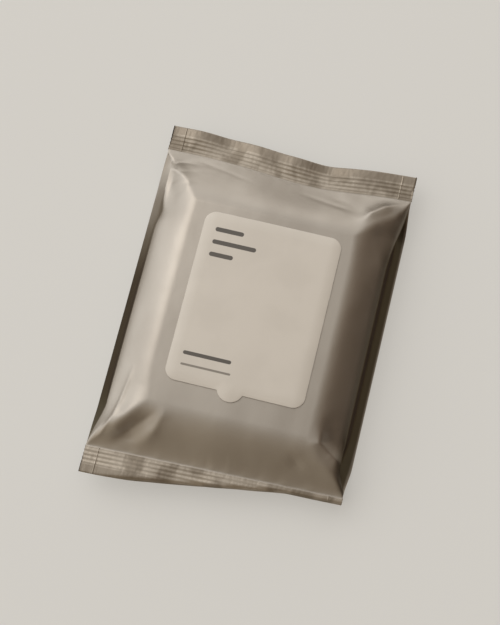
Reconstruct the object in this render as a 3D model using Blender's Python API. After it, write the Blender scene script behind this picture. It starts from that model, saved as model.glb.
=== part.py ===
# Pack of wet wipes: a film pouch with side gussets, crimped across both ends, and the reseal label
# on its front. It lies on its back. X runs across, +Y towards the head seal, +Z up, in metres.

import math

import bmesh
import bpy
from mathutils import Vector

# Film pouch
PACK_LENGTH = 0.205  # from the edge of one seal to the edge of the other
TUBE_WIDTH = 0.140  # the film tube pressed flat, as it is in the seals
PACK_HEIGHT = 0.0285  # top of the film over the middle of the cloths
CROWN = 0.0012  # drop of the film from there to the middle of each side

# End seals
SEAL_DEPTH = 0.015
SEAL_THICKNESS = 0.0008
SEAL_EDGE_ROUND = 0.0003  # outward bulge of the folded film at a seal's sides
HEAD_SEAL_LIFT = 0.0110  # middle of the seal above the table
HEAD_SEAL_BOW = 0.0042  # the full pouch draws the middle of the head seal in
BOW_CENTRE = 0.014
BOW_HALF_WIDTH = 0.036
HEAD_SEAL_SLANT = 0.0014  # the head seal's left end is drawn in by this
FOOT_SEAL_SLANT = 0.0044  # and the foot seal's right end by this
DRAWN_LENGTH = 0.036  # of the pouch that is drawn in with a seal
CRIMP_BORDER = 0.0046  # plain band outside the ribs
CRIMP_MARGIN = 0.0006  # least plain band between the ribs and the pouch
CRIMP_PITCH = 0.0023
CRIMP_RISE = 0.00028  # of a rib above the middle of the seal

# The foot seal turns down to the table along a slanting line
BEND_RADIUS = 0.0022
BEND_ANGLE = math.radians(105)
BEND_START = 0.0150  # flat depth at the left corner
BEND_END = 0.0010  # flat depth from BEND_END_INSET to the right corner
BEND_END_INSET = 0.030
TABLE_CLEARANCE = 0.0003  # under the edge that is turned down

# The stack of cloths, as its edges show through the film
SHOULDER_WIDTH = 0.0205
SHOULDER_ROUND = 0.27  # share of that width over which the film turns down
CREASE_LIP = 0.12  # share of the shoulder's height that is next to the crease
LIP_WIDTH = 0.0020
HEAD_SLOPE = 0.032
HEAD_POWER = 1.7  # higher where the film is fuller beside the seal
HEAD_FLARE = 0.35  # how far the slope flattens again before its seal
FOOT_SLOPE = 0.030
FOOT_POWER = 2.1
FOOT_FLARE = 0.75
HIP_SHARPNESS = 3.0  # of the ridges from the cloths' corners to the pouch's

# Side gussets
WAIST_DRAW = 0.0050  # each front crease is drawn in, along the middle of the pack
BACK_SPREAD = 0.0015  # each back crease is spread beyond the flat tube
CREASE_HEIGHT = 0.0165
BACK_CREASE_HEIGHT = 0.0012
BACK_ROLL = 0.008  # strip of the back panel that curves up to its crease
GUSSET_OPENING = 0.021  # length over which a gusset opens
GUSSET_TUCK = 0.0015  # of the inner fold behind the line between its creases
CORNER_TUCK = 0.0045  # extra tuck beside each seal
CORNER_TUCK_START = 0.005
CORNER_TUCK_LENGTH = 0.034
BACK_RISE = 0.023  # length over which the back panel rises to a seal

# Length over which each front crease is drawn in, by its side (-1 left) and end (-1 foot)
WAIST_OPENING = {(-1, 1): 0.013, (1, 1): 0.044, (-1, -1): 0.024, (1, -1): 0.017}
# Pinches in the front creases: side, end, distance from the seal, half length and depth
PINCHES = (
    (-1, 1, 0.0070, 0.0026, 0.0011),
    (-1, 1, 0.0390, 0.0060, 0.0017),
)
# Places where a front crease stands up, written in the same way, with a height for a depth
EARS = (
    (1, -1, 0.0170, 0.0080, 0.0040),
    (-1, 1, 0.0120, 0.0052, 0.0024),
)
EAR_REACH = 0.0095  # how far in from the crease the film stands up with it

# Long seam of the film tube, folded flat against the back
FIN_WIDTH = 0.011
FIN_THICKNESS = 0.0004
FIN_RELIEF = 0.012  # strip beside the fin that it holds off the table
FIN_GROOVE = 0.0008  # half width of the groove along its root

# Reseal label
LABEL_WIDTH = 0.0762
LABEL_LENGTH = 0.0965
LABEL_CENTRE_X = 0.0008
LABEL_CENTRE_Y = 0.0031
LABEL_CORNER = 0.0064
LABEL_THICKNESS = 0.0003
LABEL_GAP = 0.0003  # adhesive between the label and the film
TAB_WIDTH = 0.0140
TAB_LENGTH = 0.0050
TAB_OFFSET = -0.0015  # of the tab from the label's middle

# Folds near the corners. Each has its side (-1 left), its end (-1 foot) and its half width, and then
# the points of its line: distance in from the tube's edge, distance in from the seal, and height.
FOLDS = (
    (-1, 1, 0.0028, (
        (0.0025, 0.0112, 0.0002), (0.0070, 0.0134, 0.0010), (0.0130, 0.0168, 0.0014),
        (0.0182, 0.0205, 0.0014), (0.0172, 0.0270, 0.0009), (0.0130, 0.0360, 0.0002))),
    (-1, 1, 0.0044, (
        (0.0030, 0.0170, -0.0005), (0.0070, 0.0225, -0.0018), (0.0100, 0.0290, -0.0013),
        (0.0105, 0.0380, -0.0002))),
    (-1, 1, 0.0030, (
        (0.0030, 0.0045, -0.0004), (0.0100, 0.0085, -0.0012), (0.0190, 0.0130, -0.0006),
        (0.0240, 0.0145, 0.0))),
    (-1, 1, 0.0026, (
        (0.0140, 0.0005, -0.0003), (0.0220, 0.0025, -0.0006), (0.0300, 0.0060, -0.0003),
        (0.0360, 0.0080, 0.0))),
    (1, 1, 0.0030, (
        (0.0015, 0.0012, 0.0003), (0.0100, 0.0085, 0.0009), (0.0196, 0.0162, 0.0011),
        (0.0185, 0.0260, 0.0006), (0.0140, 0.0370, 0.0002), (0.0100, 0.0440, 0.0))),
    (1, 1, 0.0060, (
        (0.0060, 0.0100, -0.0002), (0.0110, 0.0190, -0.0004), (0.0110, 0.0270, -0.0003),
        (0.0080, 0.0360, 0.0))),
    (1, 1, 0.0034, (
        (0.0440, 0.0030, -0.0002), (0.0360, 0.0080, -0.0007), (0.0270, 0.0140, -0.0005),
        (0.0230, 0.0160, 0.0))),
    (-1, -1, 0.0026, (
        (0.0006, 0.0004, 0.0008), (0.0050, 0.0065, 0.0016), (0.0098, 0.0172, 0.0017),
        (0.0130, 0.0260, 0.0014), (0.0145, 0.0370, 0.0008), (0.0155, 0.0470, 0.0))),
    (-1, -1, 0.0054, (
        (0.0140, 0.0040, -0.0008), (0.0200, 0.0110, -0.0022), (0.0265, 0.0180, -0.0021),
        (0.0310, 0.0225, -0.0008), (0.0340, 0.0255, 0.0))),
    (-1, -1, 0.0040, (
        (0.0290, 0.0045, 0.0003), (0.0335, 0.0125, 0.0009), (0.0370, 0.0220, 0.0005),
        (0.0385, 0.0280, 0.0))),
    (1, -1, 0.0034, (
        (0.0045, 0.0180, 0.0003), (0.0110, 0.0215, 0.0010), (0.0186, 0.0275, 0.0011),
        (0.0192, 0.0360, 0.0004), (0.0170, 0.0500, 0.0))),
    (1, -1, 0.0050, (
        (0.0065, 0.0290, -0.0008), (0.0120, 0.0320, -0.0012), (0.0150, 0.0380, -0.0006),
        (0.0130, 0.0480, 0.0))),
    (1, -1, 0.0050, (
        (0.0310, 0.0090, -0.0002), (0.0280, 0.0130, -0.0008), (0.0255, 0.0160, -0.0002))),
)
WAVE_LENGTH = 0.011  # depth of a seal over which its waves grow
# Waves of each seal: centre as a share of its half width, half width, height at the outer edge
HEAD_WAVES = (
    (-0.78, 0.009, 0.0011),
    (-0.52, 0.008, -0.0010),
    (-0.24, 0.010, 0.0009),
    (0.04, 0.009, 0.0013),
    (0.30, 0.008, -0.0015),
    (0.62, 0.012, 0.0008),
)
FOOT_WAVES = (
    (-0.64, 0.012, 0.0007),
    (-0.26, 0.010, -0.0006),
    (0.09, 0.009, 0.0007),
)

# Mesh
FRONT_COLUMNS = 48
BACK_COLUMNS = 22
GUSSET_STEPS = 4
BODY_STATIONS = 46
LABEL_CUTS_X = 5
LABEL_CUTS_Y = 7

HALF_BODY = PACK_LENGTH / 2 - SEAL_DEPTH
HALF_TUBE = TUBE_WIDTH / 2
HALF_WAIST = HALF_TUBE - WAIST_DRAW
HALF_BACK = HALF_TUBE + BACK_SPREAD


def mix(a, b, share):
    return a + (b - a) * share


def clamp(value):
    return max(0.0, min(1.0, value))


def smooth(value):
    value = clamp(value)
    return value * value * (3 - 2 * value)


def hump(distance, half_width):
    """A rounded hill of height 1."""
    return math.exp(-((distance / half_width) ** 2))


def soft_min(shares):
    """The least of some shares of 1, lower where two are alike. It is 0 where one is 0."""
    if min(shares) <= 0:
        return 0.0
    total = sum((1 / share - 1) ** HIP_SHARPNESS for share in shares)
    return 1 / (1 + total ** (1 / HIP_SHARPNESS))


def bend(depth, flat):
    """Way out, drop and angle of the turned-down seal, at a depth along the film."""
    angle = min(max(0.0, depth - flat) / BEND_RADIUS, BEND_ANGLE)
    rest = max(0.0, depth - flat - angle * BEND_RADIUS)
    out = min(depth, flat) + BEND_RADIUS * math.sin(angle) + rest * math.cos(angle)
    drop = BEND_RADIUS * (1 - math.cos(angle)) + rest * math.sin(angle)
    return out, drop, angle


# The turned-down edge of the foot seal reaches the table at the right corner
FOOT_SEAL_LIFT = bend(SEAL_DEPTH, BEND_END)[1] + SEAL_THICKNESS / 2 + TABLE_CLEARANCE


def seal_lift(y):
    return HEAD_SEAL_LIFT if y > 0 else FOOT_SEAL_LIFT


def from_seal(y):
    """Distance of a section of the pouch from the nearer seal."""
    return max(0.0, HALF_BODY - abs(y))


def opened(y):
    """How far the gussets have opened: 0 at a seal, 1 along the middle."""
    return smooth(from_seal(y) / GUSSET_OPENING)


def local_rise(places, x, y):
    """Sum of the pinches or ears of a front crease, on the side that x is on."""
    total = 0.0
    for side, end, distance, half_length, height in places:
        if side * x > 0 and end * y > 0:
            there = hump(from_seal(y) - distance, half_length)
            total += height * there * smooth(from_seal(y) / half_length)
    return total


def front_half_width(x, y):
    """From the middle of the pack to the front crease on the side that x is on."""
    corner = (-1 if x < 0 else 1, -1 if y < 0 else 1)
    share = smooth(from_seal(y) / WAIST_OPENING[corner])
    return mix(HALF_TUBE, HALF_WAIST, share) - local_rise(PINCHES, x, y)


def back_half_width(y):
    return mix(HALF_TUBE, HALF_BACK, opened(y))


def crease_height(y):
    return mix(seal_lift(y) + SEAL_THICKNESS / 2, CREASE_HEIGHT, opened(y))


def fold_height(x, y):
    """Sum of the ridges and valleys at a point of the front panel."""
    total = 0.0
    for side, end, half_width, points in FOLDS:
        nearest = (math.inf, 0.0)
        for (in0, up0, height0), (in1, up1, height1) in zip(points, points[1:]):
            x0, y0 = side * (HALF_TUBE - in0), end * (HALF_BODY - up0)
            run_x, run_y = side * (in0 - in1), end * (up0 - up1)
            along = (x - x0) * run_x + (y - y0) * run_y
            share = clamp(along / (run_x ** 2 + run_y ** 2))
            away = math.hypot(x - x0 - share * run_x, y - y0 - share * run_y)
            nearest = min(nearest, (away, mix(height0, height1, share)))
        total += nearest[1] * hump(nearest[0], half_width)
    return total


def shoulder_rise(share):
    """Share of the way from a crease to the top, at a share of the shoulder's width."""
    out = 1 - share
    fall = math.hypot(out, SHOULDER_ROUND) - SHOULDER_ROUND
    bevel = 1 - fall / (math.hypot(1, SHOULDER_ROUND) - SHOULDER_ROUND)
    lip = 1 - math.exp(-share * SHOULDER_WIDTH / LIP_WIDTH)
    return mix(bevel, lip, CREASE_LIP)


def slope_rise(share, power, flare):
    """Share of the way from a seal to the top, at a share of the slope's length."""
    return mix(1 - (1 - share) ** power, smooth(share), flare)


def front_height(x, y):
    """Height of the front panel: film drawn tight over a block, down to the creases and seals."""
    half_width = front_half_width(x, y)
    shoulder = clamp((half_width - abs(x)) / SHOULDER_WIDTH)
    head = slope_rise(clamp((HALF_BODY - y) / HEAD_SLOPE), HEAD_POWER, HEAD_FLARE)
    foot = slope_rise(clamp((HALF_BODY + y) / FOOT_SLOPE), FOOT_POWER, FOOT_FLARE)
    rise = soft_min((shoulder_rise(shoulder), head, foot))
    edge = crease_height(y)
    ear = local_rise(EARS, x, y) * hump(half_width - abs(x), EAR_REACH)
    crown = CROWN * ((x / half_width) ** 2 + (y / HALF_BODY) ** 2)
    kept = clamp(rise * 4)
    return edge + ear + (PACK_HEIGHT - crown - edge - ear) * rise + fold_height(x, y) * kept


def fin_relief(x):
    """How far the fin holds the film off the table beside it, and the groove along its root."""
    if FIN_WIDTH < x < FIN_WIDTH + FIN_RELIEF:
        return FIN_THICKNESS * (1 - smooth((x - FIN_WIDTH) / FIN_RELIEF))
    return FIN_THICKNESS * max(0.0, 1 - abs(x) / FIN_GROOVE)


def back_height(x, y):
    """Height of the back panel: flat on the table, rising to the creases and the seals."""
    low = fin_relief(x) + BACK_CREASE_HEIGHT * smooth((abs(x) - HALF_BACK) / BACK_ROLL + 1)
    rising = 1 - smooth(from_seal(y) / BACK_RISE)
    return mix(low, seal_lift(y) - SEAL_THICKNESS / 2, rising)


def front_columns():
    """Shares of the half width, left to right, closer together over the shoulders."""
    columns = []
    for i in range(FRONT_COLUMNS):
        t = 2 * i / (FRONT_COLUMNS - 1) - 1
        columns.append(mix(t, math.sin(t * math.pi / 2), 0.5))
    return columns


def back_columns():
    """Shares of the half width, right to left, with the edge and the root of the fin."""
    edge, groove = FIN_WIDTH / HALF_BACK, FIN_GROOVE / HALF_BACK
    relieved = (FIN_WIDTH + FIN_RELIEF) / HALF_BACK
    columns = [mix(1, relieved, i / 6) for i in range(6)]
    columns += [mix(relieved, edge, i / 3) for i in range(3)]
    columns += [edge + groove / 3, edge, groove, 0.0]
    left = BACK_COLUMNS - len(columns)
    return columns + [mix(-groove, -1, i / (left - 1)) for i in range(left)]


def gusset_points(side, y):
    """X and height of the side wall's points between its front crease and its back crease."""
    front_x, front_z = front_half_width(side, y), crease_height(y) + local_rise(EARS, side, y)
    back_x, back_z = back_half_width(y), back_height(HALF_BACK, y)
    distance = from_seal(y)
    corner = smooth(distance / CORNER_TUCK_START)
    corner *= 1 - smooth((distance - CORNER_TUCK_START) / CORNER_TUCK_LENGTH)
    tuck = GUSSET_TUCK * opened(y) + CORNER_TUCK * corner
    points = []
    for i in range(1, GUSSET_STEPS):
        share = i / GUSSET_STEPS
        folded_in = 1 - abs(2 * share - 1)
        round_out = SEAL_EDGE_ROUND * (1 - opened(y)) * folded_in
        x = mix(front_x, back_x, share) - tuck * folded_in + round_out
        points.append((side * x, mix(front_z, back_z, share)))
    return points


def body_section(y):
    """One ring of the pouch: front left to right, right gusset, back right to left, left gusset."""
    ring = []
    for share in front_columns():
        x = share * front_half_width(share, y)
        ring.append((x, y, front_height(x, y)))
    ring += [(x, y, z) for x, z in gusset_points(1, y)]
    for share in back_columns():
        ring.append((share * back_half_width(y), y, back_height(share * HALF_BACK, y)))
    ring += [(x, y, z) for x, z in reversed(gusset_points(-1, y))]
    return ring


def seal_middle(end, x, depth):
    """Y, height and downward angle of a seal's middle plane, at a depth out from the pouch."""
    waves = HEAD_WAVES if end > 0 else FOOT_WAVES
    wave = sum(height * hump(x - share * HALF_TUBE, width) for share, width, height in waves)
    lift = seal_lift(end) + wave * smooth(depth / WAVE_LENGTH)
    if end > 0:
        return HALF_BODY + depth, lift, 0.0
    share = clamp((x + HALF_TUBE) / (TUBE_WIDTH - BEND_END_INSET))
    out, drop, angle = bend(depth, mix(BEND_START, BEND_END, share))
    return -(HALF_BODY + out), lift - drop, angle


def seal_section(end, depth, rib):
    """One ring of a seal, with as many points as a ring of the pouch."""
    def at(x, offset):
        y, z, angle = seal_middle(end, x, depth)
        return x, y + end * offset * math.sin(angle), z + offset * math.cos(angle)

    top, bottom = rib + SEAL_THICKNESS / 2, rib - SEAL_THICKNESS / 2
    sides = []
    for i in range(1, GUSSET_STEPS):
        share = i / GUSSET_STEPS
        round_out = SEAL_EDGE_ROUND * (1 - abs(2 * share - 1))
        sides.append((HALF_TUBE + round_out, mix(top, bottom, share)))
    ring = [at(share * HALF_TUBE, top) for share in front_columns()]
    ring += [at(x, offset) for x, offset in sides]
    ring += [at(share * HALF_TUBE, bottom) for share in back_columns()]
    ring += [at(-x, offset) for x, offset in reversed(sides)]
    return ring


def crimp_depths():
    """Depths of a seal's rings, from the pouch outwards, with the height of the ribs there."""
    half_pitch = CRIMP_PITCH / 2
    steps = 2 * int((SEAL_DEPTH - CRIMP_BORDER - CRIMP_MARGIN) / CRIMP_PITCH)
    first = SEAL_DEPTH - CRIMP_BORDER - steps * half_pitch
    depths = [(first + i * half_pitch, CRIMP_RISE * (1 if i % 2 else -1)) for i in range(steps + 1)]
    border = [(SEAL_DEPTH - CRIMP_BORDER * share, 0.0) for share in (0.65, 0.0)]
    return depths + border


def body_stations():
    """Sections of the pouch from foot to head, closer together towards the seals."""
    stations = []
    for i in range(BODY_STATIONS):
        t = 2 * i / (BODY_STATIONS - 1) - 1
        stations.append(HALF_BODY * mix(t, math.sin(t * math.pi / 2), 0.65))
    return stations


def drawn(point):
    """Draws the middle of the head seal and one end of each seal in, with the film beside it."""
    x, y, z = point
    share = smooth((abs(y) - HALF_BODY) / DRAWN_LENGTH + 1)
    across = x / HALF_TUBE
    if y > 0:
        bow = HEAD_SEAL_BOW * hump(x - BOW_CENTRE, BOW_HALF_WIDTH)
        return x, y - share * (bow + HEAD_SEAL_SLANT * (1 - across) / 2), z
    return x, y + share * FOOT_SEAL_SLANT * (1 + across) / 2, z


def surface(name, colour, roughness, metallic):
    made = bpy.data.materials.new(name)
    made.use_nodes = True
    shader = made.node_tree.nodes["Principled BSDF"]
    shader.inputs["Base Color"].default_value = (*colour, 1)
    shader.inputs["Roughness"].default_value = roughness
    shader.inputs["Metallic"].default_value = metallic
    return made


def add_object(name, shape, material, collection):
    """Turns a bmesh into a named object of the pack."""
    bmesh.ops.recalc_face_normals(shape, faces=shape.faces)
    mesh = bpy.data.meshes.new(name)
    shape.to_mesh(mesh)
    shape.free()
    mesh.materials.append(material)
    mesh.shade_smooth()
    mesh.set_sharp_from_angle(angle=math.radians(40))
    made = bpy.data.objects.new(name, mesh)
    collection.objects.link(made)
    return made


def cap_seal_edge(shape, loop):
    """Closes the edge of a seal with a strip between its upper and its lower points."""
    right = FRONT_COLUMNS + GUSSET_STEPS - 1
    left = right + BACK_COLUMNS
    top, bottom = loop[:FRONT_COLUMNS], loop[right:left][::-1]
    shape.faces.new((top[-1], *loop[FRONT_COLUMNS:right], bottom[-1]))
    shape.faces.new((bottom[0], *loop[left:], top[0]))
    while len(top) > 1 or len(bottom) > 1:
        upper = len(bottom) == 1 or (len(top) > 1 and top[1].co.x <= bottom[1].co.x)
        row = top if upper else bottom
        shape.faces.new((top[0], row[1], bottom[0]))
        row.pop(0)


def build_pouch(collection):
    """Lofts the sections from the edge of the foot seal to the edge of the head seal."""
    depths = crimp_depths()
    rings = [seal_section(-1, depth, rib) for depth, rib in reversed(depths)]
    rings += [body_section(y) for y in body_stations()]
    rings += [seal_section(1, depth, rib) for depth, rib in depths]
    shape = bmesh.new()
    loops = [[shape.verts.new(drawn(point)) for point in ring] for ring in rings]
    count = len(loops[0])
    for near, far in zip(loops, loops[1:]):
        for i in range(count):
            j = (i + 1) % count
            shape.faces.new((near[i], near[j], far[j], far[i]))
    cap_seal_edge(shape, loops[0])
    cap_seal_edge(shape, loops[-1])
    film = surface("satin_film", (0.366, 0.323, 0.266), 0.36, 0.75)
    return add_object("film_pouch", shape, film, collection)


def arc(centre_x, centre_y, radius, start, sweep, steps):
    """Points along an arc, with angles in degrees."""
    points = []
    for i in range(steps + 1):
        angle = math.radians(start + sweep * i / steps)
        points.append((centre_x + radius * math.cos(angle), centre_y + radius * math.sin(angle)))
    return points


def label_outline():
    """A rounded rectangle with the round pull tab on its foot edge."""
    x = LABEL_WIDTH / 2 - LABEL_CORNER
    y = LABEL_LENGTH / 2 - LABEL_CORNER
    radius = (TAB_WIDTH ** 2 / 4 + TAB_LENGTH ** 2) / (2 * TAB_LENGTH)
    half_angle = math.degrees(math.asin(TAB_WIDTH / 2 / radius))
    tab_y = radius - TAB_LENGTH - LABEL_LENGTH / 2
    outline = arc(x, y, LABEL_CORNER, 0, 90, 6)
    outline += arc(-x, y, LABEL_CORNER, 90, 90, 6)
    outline += arc(-x, -y, LABEL_CORNER, 180, 90, 6)
    outline += arc(TAB_OFFSET, tab_y, radius, 270 - half_angle, 2 * half_angle, 10)
    outline += arc(x, -y, LABEL_CORNER, 270, 90, 6)
    return outline


def build_label(collection):
    """A flat outline with the label's thickness, cut into a grid and laid on the front panel."""
    curve = bpy.data.curves.new("reseal_label_outline", "CURVE")
    curve.dimensions = "2D"
    curve.fill_mode = "BOTH"
    curve.extrude = LABEL_THICKNESS / 2
    outline = label_outline()
    spline = curve.splines.new("POLY")
    spline.points.add(len(outline) - 1)
    spline.use_cyclic_u = True
    for point, (x, y) in zip(spline.points, outline):
        point.co = (LABEL_CENTRE_X + x, LABEL_CENTRE_Y + y, 0, 1)
    flat = bpy.data.objects.new("reseal_label_outline", curve)
    collection.objects.link(flat)
    mesh = bpy.data.meshes.new_from_object(flat.evaluated_get(bpy.context.evaluated_depsgraph_get()))
    bpy.data.objects.remove(flat)
    bpy.data.curves.remove(curve)

    shape = bmesh.new()
    shape.from_mesh(mesh)
    bpy.data.meshes.remove(mesh)
    bmesh.ops.remove_doubles(shape, verts=shape.verts, dist=LABEL_THICKNESS / 20)
    cut_across(shape, Vector((1, 0, 0)), LABEL_CENTRE_X, LABEL_WIDTH, LABEL_CUTS_X)
    cut_across(shape, Vector((0, 1, 0)), LABEL_CENTRE_Y, LABEL_LENGTH, LABEL_CUTS_Y)
    for vertex in shape.verts:
        x, y, z = vertex.co
        vertex.co.z = front_height(x, y) + LABEL_GAP + LABEL_THICKNESS / 2 + z
        vertex.co = drawn(vertex.co)
    paper = surface("label_face", (0.55, 0.49, 0.41), 0.6, 0.0)
    return add_object("reseal_label", shape, paper, collection)


def cut_across(shape, direction, centre, extent, cuts):
    """Adds edges across the label at even steps, for it to bend at."""
    for i in range(cuts):
        place = centre + extent * ((i + 1) / (cuts + 1) - 0.5)
        geometry = shape.verts[:] + shape.edges[:] + shape.faces[:]
        bmesh.ops.bisect_plane(shape, geom=geometry, plane_co=direction * place, plane_no=direction)


def main():
    for existing in list(bpy.data.objects):
        bpy.data.objects.remove(existing, do_unlink=True)
    collection = bpy.data.collections.new("wet_wipes_pack")
    bpy.context.scene.collection.children.link(collection)
    build_pouch(collection)
    build_label(collection)


main()
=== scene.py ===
# Looks of a wet wipes pack: a full pouch of satin metallised film with side gussets and ribbed end
# seals, lying on its back, and the matt reseal label on its front. Metres, +Y towards the head seal.

import math

import bpy
import numpy as np
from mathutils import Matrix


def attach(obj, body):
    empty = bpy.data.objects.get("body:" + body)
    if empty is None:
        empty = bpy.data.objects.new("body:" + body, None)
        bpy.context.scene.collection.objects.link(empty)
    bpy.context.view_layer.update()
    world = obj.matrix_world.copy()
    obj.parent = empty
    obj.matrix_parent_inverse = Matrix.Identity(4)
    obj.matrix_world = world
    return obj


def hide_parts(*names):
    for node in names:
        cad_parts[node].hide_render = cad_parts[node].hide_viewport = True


mm = 0.001

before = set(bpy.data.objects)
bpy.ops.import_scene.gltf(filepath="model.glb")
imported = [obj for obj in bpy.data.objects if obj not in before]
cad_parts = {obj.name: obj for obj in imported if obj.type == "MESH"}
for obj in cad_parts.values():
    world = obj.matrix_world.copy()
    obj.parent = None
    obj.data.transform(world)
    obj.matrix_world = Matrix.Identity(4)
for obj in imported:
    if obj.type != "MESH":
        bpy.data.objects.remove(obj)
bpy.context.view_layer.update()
bpy.ops.object.select_all(action="DESELECT")
bpy.context.scene.view_settings.view_transform = "Standard"
print("frame loaded")


def hexColour(code):  # sRGB hex to the linear values that a shader takes
    channels = [int(code[i:i + 2], 16) / 255 for i in (1, 3, 5)]
    return tuple(c / 12.92 if c <= 0.04045 else ((c + 0.055) / 1.055) ** 2.4 for c in channels) + (1,)


def addNode(tree, kind, inputs=None, **settings):  # an input takes a value, a hex colour or an output
    node = tree.nodes.new(kind)
    for name, value in settings.items():
        setattr(node, name, value)
    for key, value in (inputs or {}).items():
        if isinstance(value, bpy.types.NodeSocket):
            tree.links.new(value, node.inputs[key])
        else:
            node.inputs[key].default_value = hexColour(value) if isinstance(value, str) else value
    return node.outputs


def layPattern(tree, place, size, longer=1, detail=2.0):  # size across the pack, longer along it
    along = addNode(tree, "ShaderNodeMapping", {"Vector": place, "Scale": (1, 1 / longer, 1)})["Vector"]
    return addNode(tree, "ShaderNodeTexNoise", {
        "Vector": along,
        "Scale": 1 / size,
        "Detail": detail,
        "Roughness": 0.5,
    })["Fac"]


def layColours(tree, base, layers):  # colours laid over each other, each with its share
    for share, colour in layers:
        base = addNode(tree, "ShaderNodeMix", {0: share, 6: base, 7: colour}, data_type="RGBA")[2]
    return base


def layBumps(tree, bumps):  # one surface from several heights, each with the distance that it rises
    normal = None
    for height, distance in bumps:
        inputs = {"Height": height, "Distance": distance, "Strength": 1.0}
        if normal is not None:
            inputs["Normal"] = normal
        normal = addNode(tree, "ShaderNodeBump", inputs)["Normal"]
    return normal


def newMaterial(name):
    material = bpy.data.materials.new(name)
    material.use_nodes = True
    tree = material.node_tree
    return material, tree, tree.nodes["Principled BSDF"]


# The camera looks down on the pack from beyond its foot, through a long lens

camera = dict(
    lens=85,
    location=(64.3 * mm, -190.0 * mm, 794.8 * mm),
    turn=(14.64, 1.31, 13.88),  # in degrees
)


def addCamera():
    data = bpy.data.cameras.new("camera")
    data.lens = camera["lens"]
    view = bpy.data.objects.new("camera", data)
    view.location = camera["location"]
    view.rotation_euler = [math.radians(angle) for angle in camera["turn"]]
    bpy.context.scene.collection.objects.link(view)
    bpy.context.scene.camera = view


addCamera()

# Film pouch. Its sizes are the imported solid's, apart from those that a note calls the scene's own

pouch = dict(
    length=205 * mm,
    tubeWidth=140 * mm,
    height=28.5 * mm,
    crown=1.2 * mm,
    shoulderWidth=20.5 * mm,
    headSlope=32 * mm,
    footSlope=30 * mm,
    footPower=2.1,
    hipSharpness=3.0,
    foldStart=0.25,  # share of the film's rise over which the folds come in
    # the scene's own, softer and evener than the solid's
    shoulderRound=0.38,
    creaseLip=0.16,
    lipWidth=2.6 * mm,
    headPower=1.35,
    headFlare=0.1,
    footFlare=0.62,
    # the scene's own: here the head's slope starts from the seal's level instead of the crease's
    headFillStart=28 * mm,
    headFillLength=22 * mm,
    headFillWidth=30 * mm,
    # end seals
    sealDepth=15 * mm,
    sealThickness=0.8 * mm,
    headSealLift=11 * mm,
    headSealBow=4.2 * mm,
    bowCentre=14 * mm,
    bowHalfWidth=36 * mm,
    headSealSlant=1.4 * mm,
    footSealSlant=4.4 * mm,
    drawnLength=36 * mm,
    waveLength=11 * mm,
    bendRadius=2.2 * mm,
    bendAngle=math.radians(105),
    bendStart=15 * mm,
    bendEnd=1 * mm,
    bendEndInset=30 * mm,
    tableClearance=0.3 * mm,
    # side gussets and the back
    waistDraw=5 * mm,
    backSpread=1.5 * mm,
    creaseHeight=16.5 * mm,
    backCreaseHeight=1.2 * mm,
    backRoll=8 * mm,
    earReach=9.5 * mm,
    gussetOpening=21 * mm,
    gussetTuck=1.5 * mm,
    cornerTuck=4.5 * mm,
    cornerTuckStart=5 * mm,
    cornerTuckLength=34 * mm,
    backRise=23 * mm,
    finWidth=11 * mm,
    finThickness=0.4 * mm,
    finRelief=12 * mm,
    finGroove=0.8 * mm,
)

# length over which each front crease is drawn in, by its side (-1 left) and end (-1 foot), in mm
waistOpening = {(-1, 1): 13, (1, 1): 44, (-1, -1): 24, (1, -1): 17}
# side, end, distance from the seal, half length, and depth or height in mm
pinches = ((-1, 1, 7, 2.6, 1.1), (-1, 1, 39, 6, 1.7))
ears = ((1, -1, 17, 8, 4.0), (-1, 1, 12, 5.2, 2.4), (1, 1, 19, 12, -4.0))  # the last is the scene's own
widenings = ((1, 1, 22, 12, 4.5), (-1, -1, 28, 12, 3.0))  # of the shoulder, the scene's own

# the solid's folds, most of them softer: side, end, half width, then points in mm, as distances in
# from the tube's edge and in from the seal, and height
pouchFolds = (
    (-1, 1, 2.8, ((2.5, 11.2, 0.2), (7, 13.4, 0.7), (13, 16.8, 0.9),
                  (18.2, 20.5, 0.2), (17.2, 27, 0), (13, 36, 0))),
    (-1, 1, 4.4, ((3, 17, -0.4), (7, 22.5, -1.3), (10, 29, -1.0), (10.5, 38, -0.2))),
    (-1, 1, 3.0, ((3, 4.5, -0.1), (10, 8.5, -0.4), (19, 13, -0.2), (24, 14.5, 0))),
    (-1, 1, 2.6, ((14, 0.5, -0.1), (22, 2.5, -0.25), (30, 6, -0.1), (36, 8, 0))),
    (1, 1, 3.0, ((1.5, 1.2, 0.2), (10, 6.5, 0.1), (20, 14.4, 0.5), (23, 21, 0.2), (24, 27, 0))),
    (1, 1, 3.4, ((44, 3, -0.1), (36, 8, -0.3), (27, 14, -0.25), (23, 16, 0))),
    (-1, -1, 2.6, ((0.6, 0.4, 0.4), (6.5, 6.5, 0.4), (11.2, 17.2, 0.5),
                   (13, 26, 0.5), (14.5, 37, 0.4), (15.5, 47, 0))),
    (-1, -1, 5.4, ((14, 4, -0.8), (22, 11, -1.6), (30, 18, -1.2), (34, 22, -0.4), (37, 25, 0))),
    (-1, -1, 4.0, ((29, 4.5, 0.3), (33.5, 12.5, 0.9), (37, 22, 0.5), (38.5, 28, 0))),
    (1, -1, 3.4, ((4.5, 18, 0.3), (11, 21.5, 1.0), (18.6, 27.5, 1.1), (19.2, 36, 0.4), (17, 50, 0))),
    (1, -1, 5.0, ((6.5, 29, -0.8), (12, 32, -1.2), (15, 38, -0.6), (13, 48, 0))),
    (1, -1, 5.0, ((31, 9, -0.2), (28, 13, -0.8), (25.5, 16, -0.2))),
)

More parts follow.
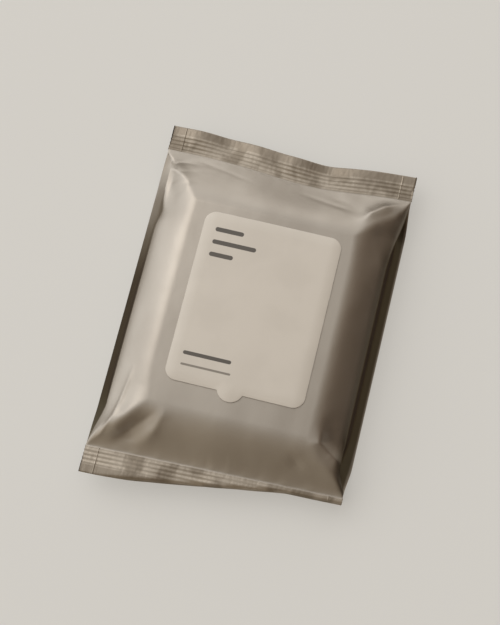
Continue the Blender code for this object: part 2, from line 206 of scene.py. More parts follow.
# the scene's own: broad facets at three corners, and creases too fine for the solid, in the same form
sceneFolds = (
    (-1, 1, 13.0, ((2, 4, -1.0), (6, 9, -2.3), (9, 15, -1.6), (11, 22, -0.4))),
    (1, 1, 6.0, ((4, 6, -0.8), (8, 11, -1.6), (11, 18, -1.6),
                 (11.5, 27, -1.2), (11, 36, -0.5), (10, 44, 0))),
    (1, 1, 3.6, ((6, 3, 0.3), (13, 7, 1.2), (19.5, 12.5, 1.0), (23, 19, 0.3), (24, 25, 0))),
    (-1, -1, 5.0, ((10, 4, 0.8), (14, 11, 2.0), (18.5, 18, 1.3), (21, 27, 0.5), (22, 36, 0))),
    (-1, 1, 1.1, ((3, 11.2, 0.2), (8, 14, 0.4), (13.5, 17, 0.4),
                  (18.2, 20.4, 0.2), (17.8, 26, 0.1), (15, 32, 0))),
    (-1, 1, 0.9, ((2.5, 12.4, 0.2), (6, 13, 0.25), (11, 15.2, 0))),
    (-1, 1, 1.4, ((19.3, 2.8, -0.15), (30, 5, -0.2), (44, 8, -0.15), (52, 9, 0))),
    (1, 1, 1.1, ((2, 1.8, 0.1), (8, 4.0, 0.2), (14, 7.5, 0.3), (20.4, 13.8, 0.3), (23, 21, 0))),
    (1, 1, 1.8, ((62, 6, 0), (52, 8.5, -0.2), (36, 12.5, -0.3), (29, 15, 0))),
    (-1, -1, 0.9, ((0.6, 0.4, 0.3), (6.5, 6.5, 0.35), (11.2, 17.2, 0.4),
                   (13, 26, 0.45), (14.5, 37, 0.35), (15.2, 45, 0.1))),
    (-1, -1, 1.5, ((15, 5.5, -0.1), (21.5, 12, -0.3), (29.5, 19.5, -0.25), (34, 24, 0))),
    (-1, -1, 1.6, ((30, 6, 0), (34.5, 13, 0.2), (37, 21, 0.2), (38, 26, 0))),
    (1, -1, 1.2, ((4.5, 18, 0.2), (11, 22, 0.3), (18.6, 27.5, 0.25), (19, 36, 0))),
)

# centre as a share of the seal's half width, half width and height at the outer edge in mm
headWaves = ((-0.78, 9, 1.1), (-0.52, 8, -1.0), (-0.24, 10, 0.9),
             (0.04, 9, 1.3), (0.30, 8, -1.5), (0.62, 12, 0.8))
footWaves = ((-0.64, 12, 0.7), (-0.45, 4, 0.4), (-0.26, 10, -0.6), (-0.1, 4, -0.35),
             (0.09, 9, 0.7), (0.36, 5, 0.4), (0.62, 6, 0.35))

ribs = dict(
    border=4.6 * mm,  # plain band outside the ribs
    pitch=2.3 * mm,
    count=4,
    rise=0.22 * mm,
    fadeIn=0.25,  # share of a pitch over which the first and last ribs fade
    sideBulge=0.3 * mm,  # of the folded film at a seal's ends
    edgeFold=0.2 * mm,  # how far the ribs notch that
    edgeRound=0.4 * mm,
    press=0.62,  # share of the ribs' height that is pressed in on average
    headPress=0.12,  # more of it at the head, less at the foot
    pressSpread=0.26,
    pressWave=11.0,  # radians over half the seal's width
    pressBeat=4.3,
)

# gathers beside the seals, as two waves whose lengths are in radians to each run
puckers = dict(
    rise=0.08 * mm,
    reach=4 * mm,
    start=1 * mm,
    run=10 * mm,
    headShift=2.1,  # so that the two ends differ
    drift=0.9,
    driftLength=23 * mm,
    coarse=5.1,
    fine=8.3,
    fineShift=1.7,
    fineBeat=1.9,
    fineShare=0.6,
)

filmGrid = dict(
    panelColumns=150,
    gussetColumns=8,
    sealRows=42,
    bodyRows=218,
    panelCrowding=0.35,  # columns are closer beside the creases
    bodyCrowding=0.4,  # rows are closer beside the seals
    weld=0.002 * mm,
    sharpAngle=math.radians(50),
)

halfBody = pouch["length"] / 2 - pouch["sealDepth"]
halfTube = pouch["tubeWidth"] / 2
halfWaist = halfTube - pouch["waistDraw"]
halfBack = halfTube + pouch["backSpread"]


def mix(a, b, share):
    return a + (b - a) * share


def smooth(value):
    value = np.clip(value, 0, 1)
    return value * value * (3 - 2 * value)


def hump(distance, halfWidth):
    return np.exp(-(distance / halfWidth) ** 2)


def crowded(place, amount):  # places from -1 to 1, moved closer together at both ends
    return mix(place, np.sin(place * math.pi / 2), amount)


def softMin(shares):  # the least share, lower where two are alike, and 0 where one is 0
    total = 0
    for share in shares:
        total = total + (1 / np.maximum(share, 1e-6) - 1) ** pouch["hipSharpness"]
    return 1 / (1 + total ** (1 / pouch["hipSharpness"]))


def bend(depth, flat):  # way out, drop and angle of the turned-down seal
    radius, most = pouch["bendRadius"], pouch["bendAngle"]
    angle = np.clip((depth - flat) / radius, 0, most)
    rest = np.maximum(0, depth - flat - angle * radius)
    out = np.minimum(depth, flat) + radius * np.sin(angle) + rest * np.cos(angle)
    drop = radius * (1 - np.cos(angle)) + rest * np.sin(angle)
    return out, drop, angle


footSealLift = bend(pouch["sealDepth"], pouch["bendEnd"])[1]
footSealLift += pouch["sealThickness"] / 2 + pouch["tableClearance"]


def sealLift(y):
    return np.where(y > 0, pouch["headSealLift"], footSealLift)


def fromSeal(y):
    return np.maximum(0, halfBody - np.abs(y))


def opened(y):
    return smooth(fromSeal(y) / pouch["gussetOpening"])


def localRise(places, x, y):  # pinches, ears or widenings along the creases
    total = 0
    for side, end, distance, halfLength, height in places:
        there = (side * x > 0) & (end * y > 0)
        rise = hump(fromSeal(y) - distance * mm, halfLength * mm)
        total = total + there * height * mm * rise * smooth(fromSeal(y) / (halfLength * mm))
    return total


def frontHalfWidth(x, y):
    lengths = np.select([(side * x >= 0) & (end * y >= 0) for side, end in waistOpening],
                        [length * mm for length in waistOpening.values()])
    return mix(halfTube, halfWaist, smooth(fromSeal(y) / lengths)) - localRise(pinches, x, y)


def backHalfWidth(y):
    return mix(halfTube, halfBack, opened(y))


def creaseHeight(y):
    return mix(sealLift(y) + pouch["sealThickness"] / 2, pouch["creaseHeight"], opened(y))


def foldHeight(x, y, folds):
    total = np.zeros_like(x)
    for side, end, halfWidth, points in folds:
        nearest, height = np.full_like(x, 1.0), np.zeros_like(x)
        for (in0, up0, height0), (in1, up1, height1) in zip(points, points[1:]):
            x0, y0 = side * (halfTube - in0 * mm), end * (halfBody - up0 * mm)
            runX, runY = side * (in0 - in1) * mm, end * (up0 - up1) * mm
            share = np.clip(((x - x0) * runX + (y - y0) * runY) / (runX ** 2 + runY ** 2), 0, 1)
            away = np.hypot(x - x0 - share * runX, y - y0 - share * runY)
            height = np.where(away < nearest, mix(height0, height1, share), height)
            nearest = np.minimum(nearest, away)
        total += height * mm * hump(nearest, halfWidth * mm)
    return total


def shoulderRise(share):
    turn = pouch["shoulderRound"]
    bevel = 1 - (np.hypot(1 - share, turn) - turn) / (math.hypot(1, turn) - turn)
    lip = 1 - np.exp(-share * pouch["shoulderWidth"] / pouch["lipWidth"])
    return mix(bevel, lip, pouch["creaseLip"])


def slopeRise(distance, end):  # end is head or foot
    share = np.clip(distance / pouch[end + "Slope"], 0, 1)
    return mix(1 - (1 - share) ** pouch[end + "Power"], smooth(share), pouch[end + "Flare"])


def puckerHeight(x, y):  # the film gathers where the jaws of the sealer caught it
    distance = fromSeal(y)
    along = x / puckers["run"] + np.sign(y) * puckers["headShift"]
    along = along + puckers["drift"] * np.sin(x / puckers["driftLength"])
    fine = np.sin(along * puckers["fine"] + puckers["fineShift"]) * np.sin(along * puckers["fineBeat"])
    wave = np.sin(along * puckers["coarse"]) + puckers["fineShare"] * fine
    fade = np.exp(-distance / puckers["reach"]) * smooth(distance / puckers["start"])
    return puckers["rise"] * wave * fade


def frontHeight(x, y):  # the film drawn tight over the cloths, down to its creases and seals
    halfWidth = frontHalfWidth(x, y)
    fromCrease = halfWidth - np.abs(x)
    width = pouch["shoulderWidth"] - localRise(pinches, x, y) + localRise(widenings, x, y)
    shoulder = shoulderRise(np.clip(fromCrease / width, 0, 1))
    rise = softMin((shoulder, slopeRise(halfBody - y, "head"), slopeRise(halfBody + y, "foot")))
    edge = creaseHeight(y)
    fill = smooth((y - pouch["headFillStart"]) / pouch["headFillLength"])
    fill = fill * smooth(fromCrease / pouch["headFillWidth"])
    edge = mix(edge, np.minimum(edge, pouch["headSealLift"] + pouch["sealThickness"] / 2), fill)
    edge = edge + localRise(ears, x, y) * hump(fromCrease, pouch["earReach"])
    crown = pouch["crown"] * ((x / halfWidth) ** 2 + (y / halfBody) ** 2)
    folds = foldHeight(x, y, pouchFolds) + foldHeight(x, y, sceneFolds)
    folds = folds * np.clip(rise / pouch["foldStart"], 0, 1)
    return edge + (pouch["height"] - crown - edge) * rise + folds + puckerHeight(x, y)


def backHeight(x, y):  # flat on the table, rising to the creases and the seals
    beside = (x - pouch["finWidth"]) / pouch["finRelief"]
    relief = np.where((beside > 0) & (beside < 1), 1 - smooth(beside), 0)
    relief = np.maximum(relief, 1 - np.abs(x) / pouch["finGroove"])
    low = pouch["finThickness"] * np.maximum(relief, 0)
    low = low + pouch["backCreaseHeight"] * smooth((np.abs(x) - halfBack) / pouch["backRoll"] + 1)
    rising = 1 - smooth(fromSeal(y) / pouch["backRise"])
    return mix(low, sealLift(y) - pouch["sealThickness"] / 2, rising)


def bodyPoint(panel, share, side, y):  # share runs across a panel, or down a gusset
    frontX, frontZ = frontHalfWidth(side, y), creaseHeight(y) + localRise(ears, side, y)
    backX = backHalfWidth(y)
    backZ = backHeight(np.full_like(y, halfBack), y)
    distance = fromSeal(y)
    corner = smooth(distance / pouch["cornerTuckStart"])
    corner = corner * (1 - smooth((distance - pouch["cornerTuckStart"]) / pouch["cornerTuckLength"]))
    tuck = pouch["gussetTuck"] * opened(y) + pouch["cornerTuck"] * corner
    foldedIn = 1 - np.abs(2 * share - 1)
    wall = side * (mix(frontX, backX, share) - tuck * foldedIn)
    x = np.select((panel == 0, panel == 2), (share * frontX, share * backX), wall)
    front = frontHeight(np.clip(x, -frontX, frontX), y)
    back = backHeight(share * halfBack, y)
    z = np.select((panel == 0, panel == 2), (front, back), mix(frontZ, backZ, share))
    return x, y, z


def sealWave(share, end):  # how far a seal's outer edge stands above its level line
    lift = 0.0
    for waves, there in ((headWaves, end > 0), (footWaves, end < 0)):
        for centre, halfWidth, height in waves:
            lift = lift + there * height * mm * hump((share - centre) * halfTube, halfWidth * mm)
    return lift


def ribPress(share, end):  # the sealer's jaws press the ribs deeper in some places than in others
    uneven = np.sin(share * ribs["pressWave"] + end) * np.sin(share * ribs["pressBeat"] + 2 * end)
    return ribs["press"] + ribs["headPress"] * end + ribs["pressSpread"] * uneven


def sealPoint(panel, share, side, end, depth):
    lift = sealLift(end) + sealWave(share, end) * smooth(depth / pouch["waveLength"])
    first = pouch["sealDepth"] - ribs["border"] - ribs["count"] * ribs["pitch"]
    turn = (depth - first) / ribs["pitch"]
    inRibs = smooth(turn / ribs["fadeIn"]) * smooth((ribs["count"] - turn) / ribs["fadeIn"])
    ribbed = np.cos(2 * math.pi * turn) * inRibs
    edgeRound = np.sqrt(np.clip((pouch["sealDepth"] - depth) / ribs["edgeRound"], 0, 1))
    onPanel = (panel == 0) | (panel == 2)
    down = np.where(onPanel, 1.0 - panel, 1 - 2 * share)
    offset = pouch["sealThickness"] / 2 * edgeRound * down - ribs["rise"] * ribbed * ribPress(share, end)
    sideFold = ribs["sideBulge"] - ribs["edgeFold"] * (inRibs + ribbed) / 2
    sideX = side * (halfTube + sideFold * edgeRound * (1 - np.abs(down)))
    x = np.where(onPanel, share * halfTube, sideX)
    across = np.clip((x + halfTube) / (pouch["tubeWidth"] - pouch["bendEndInset"]), 0, 1)
    flat = mix(pouch["bendStart"], pouch["bendEnd"], across)
    out, drop, angle = bend(depth, np.where(end > 0, pouch["sealDepth"], flat))
    return x, end * (halfBody + out + offset * np.sin(angle)), lift - drop + offset * np.cos(angle)


def drawn(x, y):  # the full pouch draws the middle of the head seal and one end of each seal in
    share = smooth((np.abs(y) - halfBody) / pouch["drawnLength"] + 1)
    across = x / halfTube
    head = pouch["headSealBow"] * hump(x - pouch["bowCentre"], pouch["bowHalfWidth"])
    head = head + pouch["headSealSlant"] * (1 - across) / 2
    return y - share * np.where(y > 0, head, -pouch["footSealSlant"] * (1 + across) / 2)


def readPoints(piece):
    points = np.empty(len(piece.data.vertices) * 3, np.float32)
    piece.data.vertices.foreach_get("co", points)
    return points.reshape(-1, 3).astype(float)


def writePoints(piece, points):
    piece.data.vertices.foreach_set("co", points.astype(np.float32).ravel())


def setAttribute(piece, name, values):
    data = piece.data.attributes.new(name, "FLOAT", "POINT").data
    data.foreach_set("value", np.asarray(values, np.float32))


def mendFaces(piece, weld=None):  # merges doubles closer than weld, and turns all faces outwards
    bpy.ops.object.mode_set(mode="EDIT")
    bpy.ops.mesh.select_all(action="SELECT")
    if weld is not None:
        bpy.ops.mesh.remove_doubles(threshold=weld)
    bpy.ops.mesh.normals_make_consistent(inside=False)
    bpy.ops.object.mode_set(mode="OBJECT")
    top = max(piece.data.polygons, key=lambda face: face.center.z)
    if top.normal.z < 0:
        bpy.ops.object.mode_set(mode="EDIT")
        bpy.ops.mesh.flip_normals()
        bpy.ops.object.mode_set(mode="OBJECT")


# painted shade on the gussets: all over them, and on the edge of the right shoulder, wider near the head
gussetPaintedShade = dict(
    brim=0.8,
    brimWidth=5 * mm,
    headBrim=0.4,
    headBrimWidth=16 * mm,
    headStart=42 * mm,
    headLength=22 * mm,
    leftEnd=66 * mm,  # the painted shade fades out before each seal
    leftFade=62 * mm,
    rightEnd=86 * mm,
    rightFade=8 * mm,
    footFade=4 * mm,
)


# share of painted shade at each point of the film: full on the gussets, partial on the right shoulder's
# edge
def paintedShadeShare(x, y, left, gusset, front):
    leftFade = smooth((gussetPaintedShade["leftEnd"] - y) / gussetPaintedShade["leftFade"])
    rightFade = smooth((gussetPaintedShade["rightEnd"] - y) / gussetPaintedShade["rightFade"])
    atHead = smooth((y - gussetPaintedShade["headStart"]) / gussetPaintedShade["headLength"])
    brimWidth = mix(gussetPaintedShade["brimWidth"], gussetPaintedShade["headBrimWidth"], atHead)
    brim = smooth((x - frontHalfWidth(1.0, y)) / brimWidth + 1)
    brim = brim * mix(gussetPaintedShade["brim"], gussetPaintedShade["headBrim"], atHead)
    share = np.select((gusset, front), (np.ones_like(y), brim), 0.0)
    return share * np.where(left, leftFade, rightFade) * smooth((y + halfBody) / gussetPaintedShade["footFade"])


def addPouch():
    panel, gusset = filmGrid["panelColumns"], filmGrid["gussetColumns"]
    seal, body = filmGrid["sealRows"], filmGrid["bodyRows"]
    columns, rows = 2 * (panel + gusset), 2 * seal + body
    bpy.ops.mesh.primitive_grid_add(x_subdivisions=columns, y_subdivisions=rows, size=2)
    film = bpy.context.object  # a flat sheet of film, rolled into the tube below
    film.name = film.data.name = "pouch_film"
    flat = readPoints(film)
    column = np.rint((flat[:, 0] + 1) / 2 * columns).astype(int)
    row = np.rint((flat[:, 1] + 1) / 2 * rows).astype(int)

    # across the sheet: the front panel, the right gusset, the back panel and the left gusset
    starts = np.array((0, panel, panel + gusset, 2 * panel + gusset))
    which = np.searchsorted(starts, column, side="right") - 1
    along = (column - starts[which]) / np.array((panel, gusset, panel, gusset))[which]
    across = crowded(2 * along - 1, filmGrid["panelCrowding"])
    share = np.select((which == 0, which == 2, which == 1), (across, -across, along), 1 - along)
    side = np.select((which == 1, which == 3), (1.0, -1.0), np.sign(share))

    # along the sheet: the foot seal, the body and the head seal
    end = np.where(row < seal, -1.0, 1.0)
    depth = np.where(row < seal, seal - row, row - seal - body) / seal * pouch["sealDepth"]
    depth = np.maximum(depth, 0)
    y = halfBody * crowded(np.clip((row - seal) / body, 0, 1) * 2 - 1, filmGrid["bodyCrowding"])
    points = np.where(depth > 0, sealPoint(which, share, side, end, depth),
                      bodyPoint(which, share, side, y)).T
    points[:, 1] = drawn(points[:, 0], points[:, 1])
    writePoints(film, points)

    # the painted shade is kept in the film's gusset attribute
    inGussetShade = (which == 1) | (which == 3) | (column == 0)  # the sheet's first column meets its last
    setAttribute(film, "gusset", paintedShadeShare(points[:, 0], y, side < 0, inGussetShade, which == 0))
    setAttribute(film, "sealDepth", depth)
    inFin = (which == 2) & (points[:, 0] > -mm) & (points[:, 0] < pouch["finWidth"])
    setAttribute(film, "fin", inFin)
    mendFaces(film, filmGrid["weld"])
    bpy.ops.object.shade_smooth_by_angle(angle=filmGrid["sharpAngle"])
    film.select_set(False)
    return film


filmFinish = dict(
    front="#a0988e",
    shade="#978f85",
    # colour of the painted shade on the gussets and the right shoulder's edge
    gusset="#554e41",
    edgeTint="#8f806c",  # of the film seen along its surface
    seal="#9b9184",
    sealPatch="#7f7568",
    sealRim="#887e71",  # outside the ribs
    metallic=0.85,
    roughness=0.39,
    sealRoughness=0.42,
    hazeRange=0.10,  # of the roughness
    sealEdge=(0.2 * mm, 1.0 * mm),  # depth over which the film takes the seal's finish
    rimBlur=0.4 * mm,
    cloudEdge=(0.35, 0.65),
    patchEdge=(0.44, 0.62),
    # size of each pattern across the pack, how much longer it is along it, and its detail
    clouds=(34 * mm, 2),
    patches=(11 * mm, 1.8, 3.0),
    haze=(9 * mm,),
    waves=(15 * mm, 2),
    grain=(3.0 * mm, 1.5),
    crinkle=(2.0 * mm, 2.4, 3.0),
    # heights
    waveRise=0.16 * mm,
    grainRise=0.035 * mm,
    crinkleRise=0.21 * mm,
    layerRise=0.13 * mm,
    seamRise=0.05 * mm,
    layersAt=62.6 * mm,  # edge of the folded gusset inside the seals, from the middle
    layerStep=0.7,  # height of its step, as a share of the crease's
    layerBlur=0.3 * mm,
    layerCrease=0.5 * mm,
    seamPitch=1.4 * mm,
)


def filmTone(tree, place, depth, inSeal):
    finish = filmFinish
    rimAt = pouch["sealDepth"] - ribs["border"]
    clouds, patches, rim = [
        addNode(tree, "ShaderNodeMapRange", {"Value": value, "From Min": low, "From Max": high},
                interpolation_type="SMOOTHSTEP")["Result"]
        for value, (low, high) in (
            (layPattern(tree, place, *finish["clouds"]), finish["cloudEdge"]),
            (layPattern(tree, place, *finish["patches"]), finish["patchEdge"]),
            (depth, (rimAt - finish["rimBlur"], rimAt + finish["rimBlur"])),
        )
    ]
    front = layColours(tree, finish["front"], ((clouds, finish["shade"]),))
    seal = layColours(tree, finish["seal"], ((rim, finish["sealRim"]), (patches, finish["sealPatch"])))
    # painted shade, with its share read from the gusset attribute
    inGussetShade = addNode(tree, "ShaderNodeAttribute", attribute_name="gusset")["Fac"]
    return layColours(tree, front, ((inSeal, seal), (inGussetShade, finish["gusset"])))


def gussetLayers(tree, x):  # the crease and the step where the folded gusset ends inside a seal
    fromMiddle = addNode(tree, "ShaderNodeMath", {0: x}, operation="ABSOLUTE")[0]
    fromEdge = addNode(tree, "ShaderNodeMath", {0: fromMiddle, 1: filmFinish["layersAt"]},
                       operation="SUBTRACT")[0]
    away = addNode(tree, "ShaderNodeMath", {0: fromEdge}, operation="ABSOLUTE")[0]
    crease = addNode(tree, "ShaderNodeMapRange", {
        "Value": away,
        "From Min": 0.0,
        "From Max": filmFinish["layerCrease"],
        "To Min": 1,
        "To Max": 0,
    }, interpolation_type="SMOOTHSTEP")["Result"]
    step = addNode(tree, "ShaderNodeMapRange", {
        "Value": fromEdge,
        "From Min": -filmFinish["layerBlur"],
        "From Max": filmFinish["layerBlur"],
    }, interpolation_type="SMOOTHSTEP")["Result"]
    return addNode(tree, "ShaderNodeMath", {0: step, 1: filmFinish["layerStep"], 2: crease},
                   operation="MULTIPLY_ADD")[0]


def satinFilm():  # metallised film with a satin lacquer: broad soft highlights that fade to brown, and painted shade on the gussets
    material, tree, shader = newMaterial("satin_metallised_film")
    finish = filmFinish
    place = addNode(tree, "ShaderNodeTexCoord")["Object"]
    x = addNode(tree, "ShaderNodeSeparateXYZ", {0: place})["X"]
    depth, inFin = [addNode(tree, "ShaderNodeAttribute", attribute_name=name)["Fac"]
                    for name in ("sealDepth", "fin")]
    inSeal = addNode(tree, "ShaderNodeMapRange", {
        "Value": depth,
        "From Min": finish["sealEdge"][0],
        "From Max": finish["sealEdge"][1],
    }, interpolation_type="SMOOTHSTEP")["Result"]
    tree.links.new(filmTone(tree, place, depth, inSeal), shader.inputs["Base Color"])
    shader.inputs["Metallic"].default_value = finish["metallic"]
    shader.inputs["Specular Tint"].default_value = hexColour(finish["edgeTint"])

    haze = addNode(tree, "ShaderNodeMath", {
        0: layPattern(tree, place, *finish["haze"]),
        1: finish["hazeRange"],
        2: finish["roughness"] - finish["hazeRange"] / 2,
    }, operation="MULTIPLY_ADD")[0]
    rough = addNode(tree, "ShaderNodeMath", {
        0: inSeal,
        1: finish["sealRoughness"] - finish["roughness"],
        2: haze,
    }, operation="MULTIPLY_ADD")[0]
    tree.links.new(rough, shader.inputs["Roughness"])

    turn = addNode(tree, "ShaderNodeMath", {0: x, 1: 2 * math.pi / finish["seamPitch"]},
                   operation="MULTIPLY")[0]
    teeth = addNode(tree, "ShaderNodeMath", {0: turn}, operation="SINE")[0]
    crinkle, layers, seam = [
        addNode(tree, "ShaderNodeMath", {0: height, 1: share}, operation="MULTIPLY")[0]
        for height, share in (
            (layPattern(tree, place, *finish["crinkle"]), inSeal),
            (gussetLayers(tree, x), inSeal),
            (teeth, inFin),
        )
    ]
    normal = layBumps(tree, (
        (layPattern(tree, place, *finish["waves"]), finish["waveRise"]),
        (layPattern(tree, place, *finish["grain"]), finish["grainRise"]),
        (crinkle, finish["crinkleRise"]),
        (layers, finish["layerRise"]),
        (seam, finish["seamRise"]),
    ))
    tree.links.new(normal, shader.inputs["Normal"])
    return material


film = addPouch()
film.data.materials.append(satinFilm())
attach(film, "root")
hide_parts("film_pouch")
print("pouch made")

# Reseal label, laid on the film

label = dict(
    width=76.2 * mm,
    length=96.5 * mm,
    centre=(0.8 * mm, 3.1 * mm),
    corner=6.4 * mm,
    cornerSteps=16,
    thickness=0.3 * mm,
    gap=0.3 * mm,
    tabWidth=14 * mm,
    tabLength=5 * mm,
    tabOffset=-1.5 * mm,
    tabSteps=24,
    edgeRound=0.1 * mm,
    edgeAngle=math.radians(50),
    sharpAngle=math.radians(35),
    cuts=(11, 15),  # so that the sheet can follow the film
)


def arc(x, y, radius, start, sweep, steps):
    angles = np.radians(start + sweep * np.arange(steps + 1) / steps)
    return np.column_stack((x + radius * np.cos(angles), y + radius * np.sin(angles)))


def labelOutline():  # a rounded rectangle with the round pull tab on its foot edge
    corner, steps = label["corner"], label["cornerSteps"]
    x, y = label["width"] / 2 - corner, label["length"] / 2 - corner
    half = label["tabWidth"] / 2
    radius = (half ** 2 + label["tabLength"] ** 2) / (2 * label["tabLength"])
    opening = math.degrees(math.asin(half / radius))
    tabY = radius - label["tabLength"] - label["length"] / 2
    return np.concatenate((
        arc(x, y, corner, 0, 90, steps),
        arc(-x, y, corner, 90, 90, steps),
        arc(-x, -y, corner, 180, 90, steps),
        arc(label["tabOffset"], tabY, radius, 270 - opening, 2 * opening, label["tabSteps"]),
        arc(x, -y, corner, 270, 90, steps),
    )) + label["centre"]


def cutSheet(axis, extent, cuts):  # cuts the sheet in edit mode, square to the axis, at even steps
    across = (1, 0, 0) if axis == 0 else (0, 1, 0)
    for i in range(cuts):
        place = label["centre"][axis] + extent * ((i + 1) / (cuts + 1) - 0.5)
        bpy.ops.mesh.select_all(action="SELECT")
        bpy.ops.mesh.bisect(plane_co=[place * c for c in across], plane_no=across)


def addLabel():
    outline = labelOutline()
    bpy.ops.mesh.primitive_circle_add(vertices=len(outline), fill_type="NGON")
    sheet = bpy.context.object
    sheet.name = sheet.data.name = "label_sheet"
    writePoints(sheet, np.column_stack((outline, np.zeros(len(outline)))))
    bpy.ops.object.mode_set(mode="EDIT")
    cutSheet(0, label["width"], label["cuts"][0])
    cutSheet(1, label["length"], label["cuts"][1])
    bpy.ops.object.mode_set(mode="OBJECT")

    points = readPoints(sheet)
    points[:, 2] = frontHeight(points[:, 0], points[:, 1]) + label["gap"]
    points[:, 1] = drawn(points[:, 0], points[:, 1])
    writePoints(sheet, points)
    mendFaces(sheet)
    solid = sheet.modifiers.new("thickness", "SOLIDIFY")
    solid.thickness = label["thickness"]
    solid.offset = 1
    bevel = sheet.modifiers.new("worn_edge", "BEVEL")
    bevel.width = label["edgeRound"]
    bevel.segments = 2
    bevel.limit_method = "ANGLE"
    bevel.angle_limit = label["edgeAngle"]
    for modifier in ("thickness", "worn_edge"):
        bpy.ops.object.modifier_apply(modifier=modifier)
    bpy.ops.object.shade_smooth_by_angle(angle=label["sharpAngle"])
    sheet.select_set(False)
    return sheet


labelFinish = dict(
    paper="#c3bbb0",
    shade="#bfb7ac",
    print="#4f4942",
    pale="#7d766c",
    roughness=0.52,
    # size of each pattern, how much longer it is along the pack, and its detail
    clouds=(22 * mm, 1, 3.0),
    cloudEdge=(0.35, 0.65),
    tooth=(0.7 * mm, 1, 3.0),  # coarser than real paper's, so that it shows
    toothRise=0.02 * mm,
    sag=(17 * mm,),
    sagRise=0.10 * mm,
)

barBlur = 0.12  # half the width of a bar's soft edge, in mm

# plain printed bars: left end, middle height, length and half height, in mm
labelBars = (
    (-30.3, 41.6, 16.0, 1.25),
    (-30.3, 34.4, 24.5, 1.25),
    (-30.3, 27.2, 13.3, 1.25),
    (-30.3, -29.2, 26.5, 1.05),
)
paleBars = ((-30.1, -35.6, 27.4, 0.6),)


def printedBars(tree, place, bars):  # 1 inside a bar with round ends, 0 outside them all
    flat = addNode(tree, "ShaderNodeVectorMath", {0: place, 1: (1, 1, 0)}, operation="MULTIPLY")["Vector"]
    total = 0.0
    for left, y, length, half in bars:
        point = flat
        for operation, vector in (
            ("SUBTRACT", ((left + length / 2) * mm, y * mm, 0)),
            ("ABSOLUTE", (0, 0, 0)),
            ("SUBTRACT", ((length / 2 - half) * mm, 0, 0)),
            ("MAXIMUM", (0, 0, 0)),
        ):
            point = addNode(tree, "ShaderNodeVectorMath", {0: point, 1: vector},
                            operation=operation)["Vector"]
        away = addNode(tree, "ShaderNodeVectorMath", {0: point}, operation="LENGTH")["Value"]
        inside = addNode(tree, "ShaderNodeMapRange", {
            "Value": away,
            "From Min": (half + barBlur) * mm,
            "From Max": (half - barBlur) * mm,
        }, interpolation_type="SMOOTHSTEP")["Result"]
        total = addNode(tree, "ShaderNodeMath", {0: inside, 1: total}, operation="MAXIMUM")[0]
    return total


def labelFace():  # coated label paper: matt, with faint clouds and a fine tooth
    material, tree, shader = newMaterial("matt_coated_label")
    finish = labelFinish
    place = addNode(tree, "ShaderNodeTexCoord")["Object"]
    clouds = addNode(tree, "ShaderNodeMapRange", {
        "Value": layPattern(tree, place, *finish["clouds"]),
        "From Min": finish["cloudEdge"][0],
        "From Max": finish["cloudEdge"][1],
    }, interpolation_type="SMOOTHSTEP")["Result"]
    face = layColours(tree, finish["paper"], (
        (clouds, finish["shade"]),
        (printedBars(tree, place, labelBars), finish["print"]),
        (printedBars(tree, place, paleBars), finish["pale"]),
    ))
    tree.links.new(face, shader.inputs["Base Color"])
    shader.inputs["Roughness"].default_value = finish["roughness"]
    normal = layBumps(tree, (
        (layPattern(tree, place, *finish["tooth"]), finish["toothRise"]),
        (layPattern(tree, place, *finish["sag"]), finish["sagRise"]),
    ))
    tree.links.new(normal, shader.inputs["Normal"])
    return material


sheet = addLabel()
sheet.data.materials.append(labelFace())
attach(sheet, "root")
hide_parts("reseal_label")
print("label made")

# Plain floor and soft light

studio = dict(
    backdrop="#d2cfc9",
    floorSize=12.0,
    floorRoughness=0.9,
    steady=0.6,  # share of the floor's colour that no light or shadow changes
    skyStrength=2.0,
    skySlope=(-0.5, 0.04, 0.0),  # the way in which the sky gets brighter
    skyMiddle=0.46,
    # share of the ramp, and the sky's colour there at half its strength
    sky=((0.02, "#332619"), (0.10, "#5c4b3a"), (0.24, "#847b70"), (0.50, "#bcbcbb"), (0.85, "#f6f9fc")),
    # each edge is the Y of the directions between which the light changes
    footEdge=(-0.9, 0.1),
    footDim=0.62,  # share of the sky's light that is left towards the pack's foot
    footTint="#f0e2cc",
    headEdge=(0.8, 0.97),
    headGain=0.7,  # more light low down beyond the pack's head
)

keyLamp = dict(
    location=(-0.75, 0.6, 1.0),
    size=1.0,
    power=3.2,
    colour="#fffaf5",
)


def addFloor():  # matt paint, part of whose colour stays steady, so that the backdrop is even
    bpy.ops.mesh.primitive_plane_add(size=studio["floorSize"])
    floor = bpy.context.object
    floor.name = "floor"
    floor.select_set(False)
    material, tree, shader = newMaterial("painted_floor")
    shader.inputs["Base Color"].default_value = hexColour(studio["backdrop"])
    shader.inputs["Roughness"].default_value = studio["floorRoughness"]
    steady = addNode(tree, "ShaderNodeEmission", {"Color": studio["backdrop"]})[0]
    path = addNode(tree, "ShaderNodeLightPath")
    seen = 0.0
    for ray in ("Is Camera Ray", "Is Glossy Ray", "Is Transmission Ray"):
        seen = addNode(tree, "ShaderNodeMath", {0: path[ray], 1: seen}, operation="MAXIMUM")[0]
    share = addNode(tree, "ShaderNodeMath", {0: seen, 1: studio["steady"]}, operation="MULTIPLY")[0]
    both = addNode(tree, "ShaderNodeMixShader", {0: share, 1: shader.outputs[0], 2: steady})[0]
    tree.links.new(both, tree.nodes["Material Output"].inputs["Surface"])
    floor.data.materials.append(material)


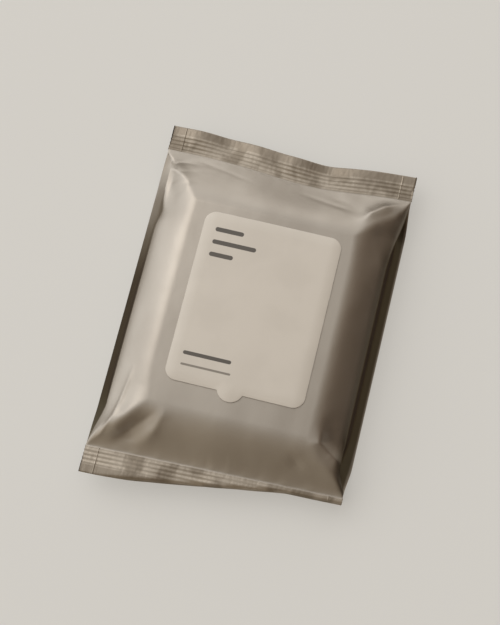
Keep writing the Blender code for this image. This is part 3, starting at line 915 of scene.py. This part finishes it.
def addWorld():  # a soft room, bright to the pack's left and brown and dim to its right
    world = bpy.data.worlds.new("studio")
    bpy.context.scene.world = world
    world.use_nodes = True
    tree = world.node_tree
    direction = addNode(tree, "ShaderNodeTexCoord")["Generated"]
    towards = addNode(tree, "ShaderNodeVectorMath", {0: direction, 1: studio["skySlope"]},
                      operation="DOT_PRODUCT")["Value"]
    across = addNode(tree, "ShaderNodeMath", {0: towards, 1: studio["skyMiddle"]}, operation="ADD")[0]
    sky = addNode(tree, "ShaderNodeValToRGB", {0: across})["Color"]
    stops = sky.node.color_ramp.elements
    while len(stops) < len(studio["sky"]):
        stops.new(0.5)
    for stop, (place, colour) in zip(stops, studio["sky"]):
        stop.position = place
        stop.color = hexColour(colour)

    background = tree.nodes["Background"]
    north = addNode(tree, "ShaderNodeSeparateXYZ", {0: direction})["Y"]
    pastFoot, level, gain = [
        addNode(tree, "ShaderNodeMapRange", {
            "Value": north,
            "From Min": low,
            "From Max": high,
            "To Min": first,
            "To Max": last,
        }, interpolation_type=curve)["Result"]
        for (low, high), first, last, curve in (
            (studio["footEdge"], 0, 1, "SMOOTHSTEP"),
            (studio["footEdge"], studio["footDim"], 1, "LINEAR"),
            (studio["headEdge"], 0, studio["headGain"], "SMOOTHSTEP"),
        )
    ]
    tint = layColours(tree, studio["footTint"], ((pastFoot, "#ffffff"),))
    tinted = addNode(tree, "ShaderNodeMix", {0: 1.0, 6: sky, 7: tint},
                     data_type="RGBA", blend_type="MULTIPLY")[2]
    tree.links.new(tinted, background.inputs["Color"])
    total = addNode(tree, "ShaderNodeMath", {0: level, 1: gain}, operation="ADD")[0]
    strength = addNode(tree, "ShaderNodeMath", {0: total, 1: studio["skyStrength"]},
                       operation="MULTIPLY")[0]
    tree.links.new(strength, background.inputs["Strength"])


def addKeyLamp():
    data = bpy.data.lights.new("key", "AREA")
    data.shape = "DISK"
    data.size = keyLamp["size"]
    data.energy = keyLamp["power"]
    data.color = hexColour(keyLamp["colour"])[:3]
    lamp = bpy.data.objects.new("key", data)
    lamp.location = keyLamp["location"]
    towardsPack = -lamp.location
    lamp.rotation_euler = towardsPack.to_track_quat("-Z", "Y").to_euler()
    bpy.context.scene.collection.objects.link(lamp)


addFloor()
addWorld()
addKeyLamp()
print("floor and light set")
